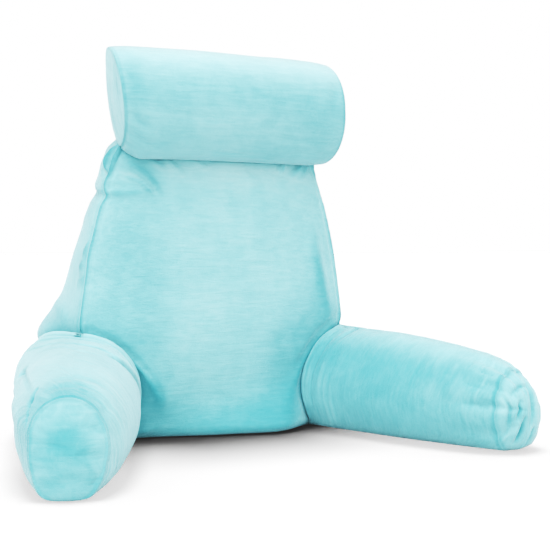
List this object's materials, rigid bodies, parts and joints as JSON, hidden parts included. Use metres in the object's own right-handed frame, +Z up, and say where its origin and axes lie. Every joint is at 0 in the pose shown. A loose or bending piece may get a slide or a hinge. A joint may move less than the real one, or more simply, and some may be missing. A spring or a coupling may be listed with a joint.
{
  "type": "reading pillow with arms",
  "caption": "Stuffed velour back rest with splayed padded arms and a neck roll across its top, for sitting up against in bed or on the floor.",
  "frame": {"origin": "on the floor, under the middle of the whole pillow", "axes": "+Z up, -Y the way the pillow faces, +X across it, to the right of someone who looks at its front"},
  "size_m": [0.7212, 0.5984, 0.572],
  "materials": {
    "velour": "soft short-pile velour, aqua, with a pale sheen",
    "end_velour": "soft short-pile velour, aqua, with its nap turned darker"
  },
  "bodies": {
    "root": {"backrest": "velour", "arm_left": "velour", "arm_right": "velour", "arm_end_left": "end_velour", "arm_end_right": "end_velour", "neck_roll": "velour", "neck_roll_end_left": "end_velour", "neck_roll_end_right": "end_velour"}
  },
  "joints": []
}
